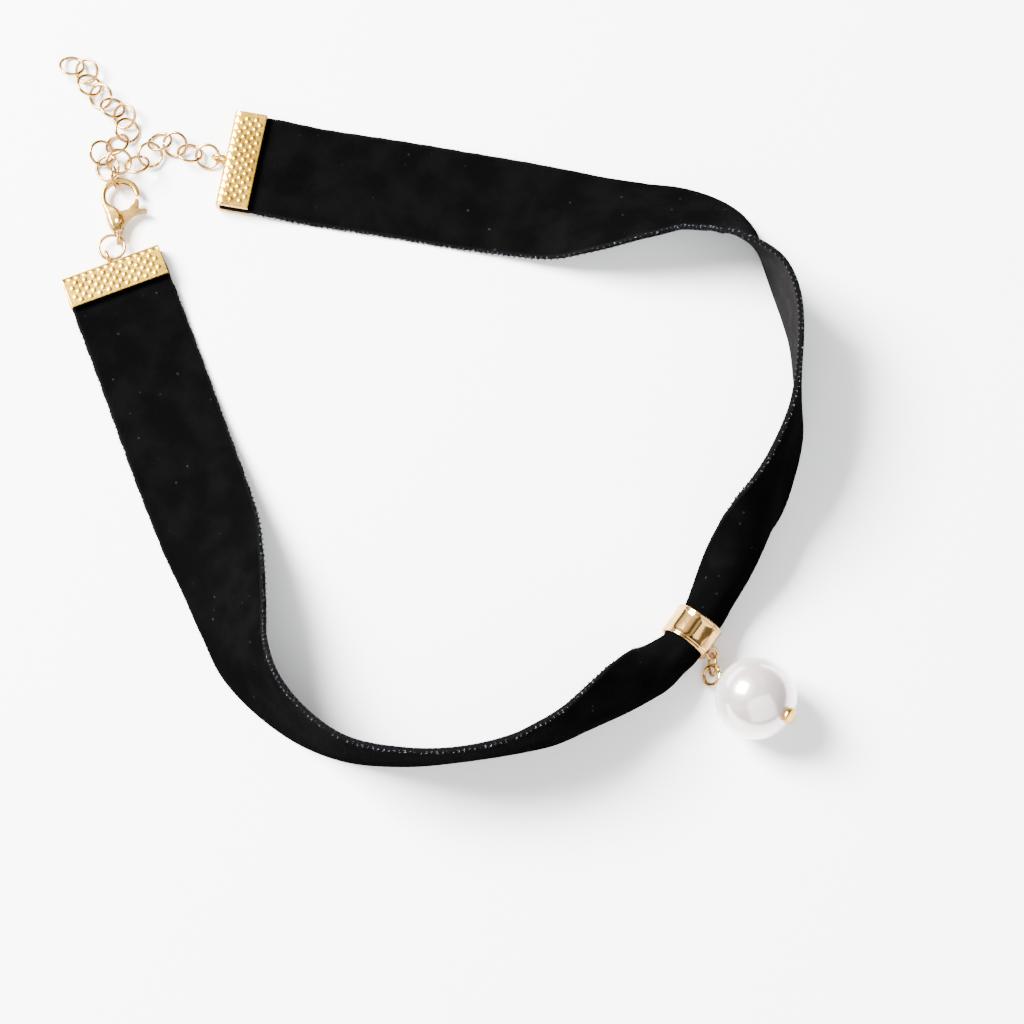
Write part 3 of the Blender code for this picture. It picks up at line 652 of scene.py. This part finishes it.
def make_cloth():
    """The ribbon as one closed cloth: velvet face, rounded knurled edges and woven back."""
    stations, columns, faces = cloth_grid()
    faces = pleated(stations, columns, faces)
    faces[:, :, :, 2] = np.maximum(faces[:, :, :, 2], CLOTH_FLOOR)
    count, last = len(stations), CLOTH_COLUMNS - 1
    ring_points, ring_across, ring_back = [], [], []
    knurl = np.sin(2 * np.pi * stations / KNURL_PITCH)
    for column in range(CLOTH_COLUMNS):
        ring_points.append(faces[:, 0, column])
        ring_across.append(columns[column])
        ring_back.append(False)
    for edge, inner in ((last, last - 1), (0, 1)):
        top, bottom = faces[:, 0, edge], faces[:, 1, edge]
        if edge == 0:
            top, bottom = bottom, top
        out = (faces[:, 0, edge] + faces[:, 1, edge]) - (faces[:, 0, inner] + faces[:, 1, inner])
        out /= np.linalg.norm(out, axis=1, keepdims=True)
        for step in range(1, EDGE_STEPS + 1):
            share = step / (EDGE_STEPS + 1)
            bulge = math.sin(math.pi * share) * (EDGE_BULGE + KNURL_DEPTH * knurl)
            ring_points.append(top + (bottom - top) * share + out * bulge[:, None])
            ring_across.append(float(edge == last))
            ring_back.append(False)
        if edge == last:
            for column in range(last, -1, -1):
                ring_points.append(faces[:, 1, column])
                ring_across.append(columns[column])
                ring_back.append(True)
    grid = np.array(ring_points).transpose(1, 0, 2)
    grid[:, :, 2] = np.maximum(grid[:, :, 2], CLOTH_FLOOR)
    around = grid.shape[1]
    quads, back_flags = [], []
    for i in range(count - 1):
        for j in range(around):
            k = (j + 1) % around
            quads.append((i * around + j, i * around + k, (i + 1) * around + k, (i + 1) * around + j))
            back_flags.append(int(ring_back[j] and ring_back[k]))
    quads.append(tuple(range(around)))
    quads.append(tuple((count - 1) * around + j for j in range(around)))
    back_flags += [1, 1]
    mesh = bpy.data.meshes.new("velvet_cloth")
    mesh.from_pydata(grid.reshape(-1, 3).tolist(), [], quads)
    made = in_scene(mesh)
    chart = mesh.uv_layers.new(name="cloth")
    for loop in mesh.loops:
        i, j = divmod(loop.vertex_index, around)
        chart.data[loop.index].uv = (stations[i] / RIBBON_FLAT[0], ring_across[j])
    edit(made, SELECT_ALL, TIDY_NORMALS)
    mesh.materials.append(velvet_face())
    mesh.materials.append(woven_back())
    mesh.polygons.foreach_set("material_index", back_flags)
    mesh.shade_smooth()
    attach(made, NECKLACE)
    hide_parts("velvet_ribbon")
    return made, stations, faces


def scatter(name, template, places, finish):
    """One piece from many copies of a small shape."""
    points = np.array([tuple(vertex.co) for vertex in template.data.vertices])
    loops = [tuple(face.vertices) for face in template.data.polygons]
    all_points, all_faces = [], []
    for number, place in enumerate(places):
        turned = np.array(place)
        all_points.append(points @ turned[:3, :3].T + turned[:3, 3])
        all_faces += [tuple(index + number * len(points) for index in loop) for loop in loops]
    mesh = bpy.data.meshes.new(name)
    mesh.from_pydata(np.concatenate(all_points).tolist(), [], all_faces)
    made = in_scene(mesh)
    mesh.shade_smooth()
    mesh.materials.append(finish)
    bpy.data.objects.remove(template, do_unlink=True)
    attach(made, NECKLACE)
    return made


STITCH_PITCH = 0.95 * MM
STITCH_SIZE = (0.30 * MM, 0.15 * MM, 0.11 * MM)
STITCH_SLANT = 0.45
STITCH_PROUD, STITCH_FORWARD = 0.05 * MM, 0.12 * MM
STITCH_LOWEST = 0.25 * MM


def make_stitches(stations, faces):
    """The selvedge's overlocked thread: a small bead of thread at every pitch on both edges."""
    template = add("stitch", bpy.ops.mesh.primitive_uv_sphere_add, segments=8, ring_count=5, radius=1.0)
    edit(template, (bpy.ops.transform.resize, {"value": STITCH_SIZE}))
    places = []
    wanted = np.arange(FLAT_END, stations[-1] - FLAT_END, STITCH_PITCH)
    for edge, inner in ((0, 2), (CLOTH_COLUMNS - 1, CLOTH_COLUMNS - 3)):
        back = smooth_through(stations, faces[:, 1, edge], wanted)
        front = smooth_through(stations, faces[:, 0, edge], wanted)
        inside = smooth_through(stations, faces[:, 1, inner], wanted)
        run = np.gradient(back, axis=0)
        for spot, face, near, line in zip(back, front, inside, run):
            behind = Vector(spot - face).normalized()
            toward = Vector(near - spot).normalized()
            middle = Vector(spot) - toward * STITCH_PROUD - behind * STITCH_FORWARD
            middle.z = max(middle.z, STITCH_LOWEST)
            slanted = toward + Vector(line).normalized() * STITCH_SLANT
            places.append(frame_from(middle, behind, slanted))
    return scatter("selvedge_stitches", template, places, stitch_thread())


FUZZ_COUNT = 2600
FUZZ_LENGTH = (0.22 * MM, 0.65 * MM)
FUZZ_WIDTH = 0.022 * MM
FUZZ_CURL = 0.25 * MM
FUZZ_ROOT = 0.05 * MM
FUZZ_LOWEST = 0.1 * MM
FUZZ_END_ROWS = 9


def make_fuzz(stations, faces):
    """Loose pile fibres that stand out along the velvet's edges."""
    draw = random.Random(7)
    stem = {"vertices": 3, "radius1": FUZZ_WIDTH, "depth": MM, "location": (0, 0, MM / 2)}
    template = add("fibre", bpy.ops.mesh.primitive_cone_add, **stem)
    edit(template, (bpy.ops.mesh.subdivide, {"number_cuts": 1}))
    for vertex in template.data.vertices:
        vertex.co.x += FUZZ_CURL * (vertex.co.z / MM) ** 2
    places = []
    for number in range(FUZZ_COUNT):
        edge, inner = ((0, 1), (CLOTH_COLUMNS - 1, CLOTH_COLUMNS - 2))[number % 2]
        row = draw.randrange(FUZZ_END_ROWS, len(stations) - FUZZ_END_ROWS)
        front, back = faces[row, 0, edge], faces[row, 1, edge]
        out = Vector(front - faces[row, 0, inner]).normalized()
        face_out = Vector(front - back).normalized()
        root = Vector(front + (back - front) * draw.uniform(0.0, 0.5)) + out * FUZZ_ROOT
        run = Vector(faces[row + 1, 0, edge] - faces[row, 0, edge]).normalized()
        lean = out + face_out * draw.uniform(0.0, 1.1) + run * draw.uniform(-0.8, 0.8)
        size = draw.uniform(*FUZZ_LENGTH) / MM
        tip = root + lean.normalized() * size * MM
        if min(tip.z, root.z) < FUZZ_LOWEST:
            continue
        places.append(frame_from(root, lean, run) @ Matrix.Diagonal((1.0, 1.0, size, 1.0)))
    return scatter("edge_fuzz", template, places, fuzz_fibre())


# Crimp ends

FOLD_RADIUS = 0.55 * MM
BUMP_COLUMNS, BUMP_ROWS = 5, 10
BUMP_HEIGHT = 0.10 * MM
BUMP_WIDTH = 0.32 * MM
BUMP_SHIFT = 0.25
BUMPS_FROM_MOUTH, BUMPS_FROM_BACK, BUMPS_FROM_END = 0.35 * MM, 1.25 * MM, 0.5 * MM
SLOT_COUNT = 13
SLOT_DEPTH = 0.09 * MM
SLOT_FROM_BACK = 0.75 * MM
SLOT_HALF_LENGTH, SLOT_HALF_WIDTH = 0.2 * MM, 0.22 * MM
SHEET_ROUNDING = 0.08 * MM
SHEET_GRID = {"x_subdivisions": 118, "y_subdivisions": 84, "size": 1.0}


def fold_point(distance, straight, drop):
    """A point and its outward direction on the folded sheet's middle line, as (y, z)."""
    quarter = math.pi * FOLD_RADIUS / 2
    back, top = CRIMP_BACK - CRIMP_SHEET / 2, CRIMP_THICKNESS - CRIMP_SHEET / 2
    if distance <= straight:
        return (CRIMP_MOUTH + distance, top), (0.0, 1.0)
    distance -= straight
    if distance <= quarter:
        turn = distance / FOLD_RADIUS
        out = (math.sin(turn), math.cos(turn))
        return (back - FOLD_RADIUS * (1 - out[0]), top - FOLD_RADIUS * (1 - out[1])), out
    distance -= quarter
    if distance <= drop:
        return (back, top - FOLD_RADIUS - distance), (1.0, 0.0)
    distance -= drop
    low = CRIMP_SHEET / 2
    if distance <= quarter:
        turn = distance / FOLD_RADIUS
        out = (math.cos(turn), -math.sin(turn))
        return (back - FOLD_RADIUS * (1 - out[0]), low + FOLD_RADIUS * (1 + out[1])), out
    distance -= quarter
    return (back - FOLD_RADIUS - distance, low), (0.0, -1.0)


def crimp_relief(x, y):
    """Height of the pressed relief on the crimp's upper face."""
    bumps_start = CRIMP_MOUTH + BUMPS_FROM_MOUTH
    pitch_y = (CRIMP_BACK - BUMPS_FROM_BACK - bumps_start) / BUMP_COLUMNS
    pitch_x = CRIMP_LENGTH / (BUMP_ROWS + 0.5)
    height = 0.0
    for column in range(BUMP_COLUMNS):
        middle_y = bumps_start + pitch_y * (column + 0.5)
        if abs(y - middle_y) > BUMP_WIDTH:
            continue
        shift = BUMP_SHIFT if column % 2 else -BUMP_SHIFT
        row = round((x + CRIMP_LENGTH / 2) / pitch_x - 0.5 - shift)
        middle_x = (row + 0.5 + shift) * pitch_x - CRIMP_LENGTH / 2
        if abs(middle_x) > CRIMP_LENGTH / 2 - BUMPS_FROM_END:
            continue
        reach = math.hypot((x - middle_x) / BUMP_WIDTH, (y - middle_y) / BUMP_WIDTH)
        height += BUMP_HEIGHT * max(0.0, 1.0 - reach**2) ** 1.5
    slot_y = CRIMP_BACK - SLOT_FROM_BACK
    slot_x = CRIMP_LENGTH / SLOT_COUNT
    along = abs((x / slot_x + 0.5) % 1.0 - 0.5) * slot_x
    reach = math.hypot(max(along - SLOT_HALF_LENGTH, 0.0), y - slot_y) / SLOT_HALF_WIDTH
    return height - SLOT_DEPTH * max(0.0, 1.0 - reach**2)


def make_crimp(node):
    """A folded sheet with its pressed relief and its soldered loop."""
    place = crimp_place(node)
    straight = CRIMP_BACK - CRIMP_SHEET / 2 - FOLD_RADIUS - CRIMP_MOUTH
    drop = CRIMP_THICKNESS - CRIMP_SHEET - 2 * FOLD_RADIUS
    developed = 2 * straight + math.pi * FOLD_RADIUS + drop
    sheet = add(node + "_sheet", bpy.ops.mesh.primitive_grid_add, **SHEET_GRID)
    edit(sheet, (bpy.ops.transform.resize, {"value": (CRIMP_LENGTH, developed, 1.0)}))
    for vertex in sheet.data.vertices:
        x, distance = vertex.co.x, vertex.co.y + developed / 2
        (y, z), (out_y, out_z) = fold_point(distance, straight, drop)
        relief = crimp_relief(x, y) if distance < straight + FOLD_RADIUS else 0.0
        vertex.co = (x, y + out_y * relief, z + out_z * relief)
    edit(sheet, SELECT_ALL, (bpy.ops.mesh.remove_doubles, {"threshold": 1e-7}), TIDY_NORMALS)
    finish_with(sheet, "SOLIDIFY", thickness=CRIMP_SHEET, offset=0.0)
    round_edges(sheet, SHEET_ROUNDING, 60)
    loop = make_hoop(node + "_loop", *CRIMP_LOOP, cut=False)
    loop_y = CRIMP_BACK + CRIMP_LOOP[0] - CRIMP_LOOP[1] / 2
    put(loop, frame_from((0.0, loop_y, CRIMP_THICKNESS / 2), (1, 0, 0), (0, 0, 1)))
    made = join(node.replace("_end", "_fold"), sheet, loop)
    put(made, place)
    low = min(vertex.co.z for vertex in made.data.vertices)
    for vertex in made.data.vertices:
        vertex.co.z -= min(low, 0.0)
    dress(made, CRIMP_GOLD, NECKLACE, "pale_gold", node, angle=35)


# Rings and links

HOOP_SEGMENTS = 64
HOOP_SIDES = 12
HOOP_OFFSET = 0.35
RING_SIZES = {
    # radius, wire radius
    "clasp_jump_ring": (2.1 * MM, 0.25 * MM),
    "chain_jump_ring": (1.9 * MM, 0.25 * MM),
    "drop_jump_ring": (1.75 * MM, 0.25 * MM),
}
LINK_SIZE = (1.95 * MM, 0.25 * MM)


def make_hoop(name, radius, wire, cut=True):
    """A ring of round wire, with the fine cut where it was closed."""
    sides = {"major_segments": HOOP_SEGMENTS, "minor_segments": HOOP_SIDES}
    made = add(name, bpy.ops.mesh.primitive_torus_add, major_radius=radius, minor_radius=wire, **sides)
    if cut:
        slot = math.pi * 1.1 / HOOP_SEGMENTS
        pick(made, lambda middle, normal: abs(math.atan2(middle.y, middle.x) - slot) < slot)
        edit(made, DELETE_FACES)
        edit(made, SELECT_ALL, (bpy.ops.mesh.fill_holes, {"sides": 0}))
        for vertex in made.data.vertices:
            turn = math.atan2(vertex.co.y, vertex.co.x)
            if turn > 0:
                share = 1.0 - turn / (2 * math.pi)
                vertex.co.z += HOOP_OFFSET * wire * share * share
    return made


def make_rings():
    """The jump rings and the chain's links, each turned so that its cut lies somewhere else."""
    links = sorted(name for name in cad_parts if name.startswith("extender_link"))
    sizes = {**RING_SIZES, **{name: LINK_SIZE for name in links}}
    draw = random.Random(11)
    for node, (radius, wire) in sizes.items():
        middle, (_, _, axis) = axes_of(points_of(node))
        turn = draw.uniform(0, 2 * math.pi)
        place = frame_from(middle, axis, (1, 0, 0)) @ Matrix.Rotation(turn, 4, "Z")
        made = make_hoop(node.replace("extender_", "wire_").replace("_jump", "_wire"), radius, wire)
        put(made, place)
        dress(made, WIRE_GOLD, NECKLACE, "pale_gold", node, angle=50)


# The gathering tube


TUBE_CROWN = 0.15 * MM
TUBE_LOOP_START = 0.3 * MM
TUBE_STEPS = 96
TUBE_PROFILE = (
    # how far outside the tube's radius, how far from its rim
    (-TUBE_WALL, 0.12 * MM),
    (-0.7 * TUBE_WALL, 0.0),
    (-0.05 * MM, 0.0),
    (0.06 * MM, 0.10 * MM),
    (0.07 * MM, 0.28 * MM),
    (-0.02 * MM, 0.42 * MM),
    (-0.04 * MM, 0.52 * MM),
    (0.02 * MM, 0.62 * MM),
    (-0.02 * MM, 0.76 * MM),
    (-0.01 * MM, TUBE_LENGTH / 4),
)


def tube_place():
    """The tube's placement, Z along it, and its loop's middle and axis."""
    points = points_of("gathering_tube")
    crown = points[points[:, 2] > 2 * TUBE_RADIUS - TUBE_CROWN]
    middle, (along, _, _) = axes_of(crown)
    middle.z = TUBE_RADIUS
    along = Vector((along.x, along.y, 0.0)).normalized()
    place = frame_from(middle, along, (0, 0, 1))
    offsets = points - np.array(middle)
    reach = np.linalg.norm(offsets - np.outer(offsets @ np.array(along), np.array(along)), axis=1)
    loop_middle, (_, _, loop_axis) = axes_of(points[reach > TUBE_RADIUS + TUBE_LOOP_START])
    return place, loop_middle, loop_axis


def make_tube():
    """A band with rolled rims and a raised line inside each."""
    place, loop_middle, loop_axis = tube_place()
    half = [(TUBE_RADIUS + out, TUBE_LENGTH / 2 - inset) for out, inset in TUBE_PROFILE]
    outline = half + [(TUBE_RADIUS, 0.0)] + [(reach, -height) for reach, height in reversed(half)]
    full_turn = {"steps": TUBE_STEPS, "angle": 2 * math.pi, "center": (0, 0, 0), "axis": (0, 0, 1)}
    made = add("tube_band", bpy.ops.mesh.primitive_circle_add, vertices=len(outline), radius=1.0)
    for vertex, (reach, height) in zip(made.data.vertices, outline):
        vertex.co = (reach, 0.0, height)
    edit(
        made,
        (bpy.ops.mesh.select_mode, {"type": "EDGE"}),
        SELECT_ALL,
        (bpy.ops.mesh.spin, full_turn),
        SELECT_ALL,
        (bpy.ops.mesh.remove_doubles, {"threshold": 1e-6}),
        TIDY_NORMALS,
    )
    put(made, place)
    loop = make_hoop("tube_hoop", *TUBE_LOOP, cut=False)
    put(loop, frame_from(loop_middle_of_hoop(place, loop_middle), loop_axis, (0, 0, 1)))
    made = join("tube_band", made, loop)
    dress(made, TUBE_GOLD, NECKLACE, "pale_gold", "gathering_tube", angle=45)


def loop_middle_of_hoop(place, seen_middle):
    """The loop's centre, from the tube's axis towards the part of it that shows."""
    inside = place.inverted() @ seen_middle
    out = Vector((inside.x, inside.y, 0.0)).normalized()
    reach = TUBE_RADIUS + TUBE_LOOP[0] - TUBE_LOOP[1] / 2
    return place @ Vector((out.x * reach, out.y * reach, inside.z))


# The drop


# how far outside the pearl the pin's eye starts, and the two heights between which its head lies
PIN_EYE_START = 1.35 * MM
PIN_HEAD_SHELL = (0.2 * MM, 1.0 * MM)
PIN_HEAD_GAP = 0.3 * MM
PIN_HEAD_RADIUS = 1.4 * MM
PIN_HEAD_THICKNESS = 0.42 * MM
PIN_HEAD_ROUNDING, PIN_STEM_ROUNDING = 0.07 * MM, 0.08 * MM
PIN_NECK = 1.3 * MM
# thickness and depth of each inset
PIN_DOME_INSETS = ((0.35 * MM, 0.12 * MM), (0.3 * MM, 0.06 * MM))
PEARL_BORE_INSETS = ((0.05 * MM, -0.05 * MM), (0.08 * MM, -0.35 * MM))
PEARL_SHARE = 0.996
PEARL_UNEVEN, PEARL_LOBES, PEARL_TWIST = 0.003, 3.0, 400.0


def insets(rows):
    return [(bpy.ops.mesh.inset, {"thickness": thickness, "depth": depth}) for thickness, depth in rows]


def drop_places():
    """The pearl's placement, Z along the pin to its head, and the eye's middle and axis."""
    low, high = (np.array(corner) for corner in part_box("pearl"))
    middle = (low + high) / 2
    middle[2] = PEARL_RADIUS
    points = points_of("head_pin")
    reach = np.linalg.norm(points - middle, axis=1)
    eye_middle, (_, _, eye_axis) = axes_of(points[reach > PEARL_RADIUS + PIN_EYE_START])
    shell = [PEARL_RADIUS + height for height in PIN_HEAD_SHELL]
    head = points[(reach > shell[0]) & (reach < shell[1])]
    away = np.linalg.norm(head - np.array(eye_middle), axis=1)
    head_middle = Vector(head[away > PEARL_RADIUS].mean(axis=0))
    axis = (head_middle - eye_middle).normalized()
    return frame_from(middle, axis, (0, 0, 1)), eye_middle, eye_axis


def make_pearl(place):
    grid = {"segments": 96, "ring_count": 64}
    pearl = add("pearl_bead", bpy.ops.mesh.primitive_uv_sphere_add, radius=PEARL_RADIUS, **grid)
    pick(pearl, lambda middle, normal: math.hypot(middle.x, middle.y) < PEARL_BORE * 0.8)
    edit(pearl, *insets(PEARL_BORE_INSETS))
    for vertex in pearl.data.vertices:
        x, y, z = vertex.co
        uneven = 1.0 + PEARL_UNEVEN * math.sin(PEARL_LOBES * math.atan2(y, x) + z * PEARL_TWIST)
        vertex.co = (x * uneven * PEARL_SHARE, y * uneven * PEARL_SHARE, z * PEARL_SHARE)
    put(pearl, place)
    dress(pearl, pearl_lustre(), NECKLACE, "pearl_lustre", "pearl", angle=60)


def pin_part(name, sides, radius, low, high):
    """A round part of the pin between two heights along it."""
    settings = {"vertices": sides, "radius": radius, "depth": high - low}
    middle = (0, 0, (low + high) / 2)
    return add(name, bpy.ops.mesh.primitive_cylinder_add, location=middle, **settings)


def make_pin(place, eye_middle, eye_axis):
    """The head pin: a domed head, the stem through the pearl and the eye."""
    head_base = PEARL_RADIUS + PIN_HEAD_GAP
    head = pin_part("pin_head", 12, PIN_HEAD_RADIUS, head_base, head_base + PIN_HEAD_THICKNESS)
    pick(head, lambda middle, normal: normal.z > 0.9)
    edit(head, *insets(PIN_DOME_INSETS))
    round_edges(head, PIN_HEAD_ROUNDING, 20)
    stem = pin_part("pin_stem", 20, PIN_WIRE, -(PEARL_RADIUS + PIN_NECK), head_base)
    round_edges(stem, PIN_STEM_ROUNDING, 40)
    put(head, place)
    put(stem, place)
    eye = make_hoop("pin_eye", *PIN_EYE, cut=False)
    put(eye, frame_from(eye_middle, eye_axis, (0, 0, 1)))
    made = join("pin_and_eye", head, stem, eye)
    dress(made, CAST_GOLD, NECKLACE, "pale_gold", "head_pin", angle=28)


def make_drop():
    place, eye_middle, eye_axis = drop_places()
    make_pearl(place)
    make_pin(place, eye_middle, eye_axis)


# The clasp

WORKING_SCALE = 100.0
BODY_ROUNDING = (0.075 * MM, 9)
LEVER_ROUNDING = (0.06 * MM, 7)


def cast_copy(node, name, grain, softness):
    """A merged copy of a node with its edges rounded as on a tumbled casting."""
    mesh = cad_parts[node].data.copy()
    mesh.name = name
    made = in_scene(mesh)
    edit(made, SELECT_ALL, (bpy.ops.mesh.remove_doubles, {"threshold": 1e-6}))
    mesh.transform(Matrix.Scale(WORKING_SCALE, 4))
    finish_with(made, "REMESH", mode="VOXEL", voxel_size=grain * WORKING_SCALE)
    finish_with(made, "SMOOTH", factor=0.5, iterations=softness)
    made.data.transform(Matrix.Scale(1.0 / WORKING_SCALE, 4))
    return made


def make_clasp():
    body = cast_copy("clasp_body", "clasp_casting", *BODY_ROUNDING)
    dress(body, CAST_GOLD, NECKLACE, "pale_gold", "clasp_body", angle=70)
    thumb = cast_copy("clasp_lever", "clasp_thumb_lever", *LEVER_ROUNDING)
    dress(thumb, CAST_GOLD, LEVER, "pale_gold", "clasp_lever", angle=70)


add_camera()
add_stage()
cloth, cloth_stations, cloth_faces = make_cloth()
stitches = make_stitches(cloth_stations, cloth_faces)
fuzz = make_fuzz(cloth_stations, cloth_faces)
make_crimp("right_crimp_end")
make_crimp("left_crimp_end")
make_tube()
make_rings()
make_drop()
make_clasp()
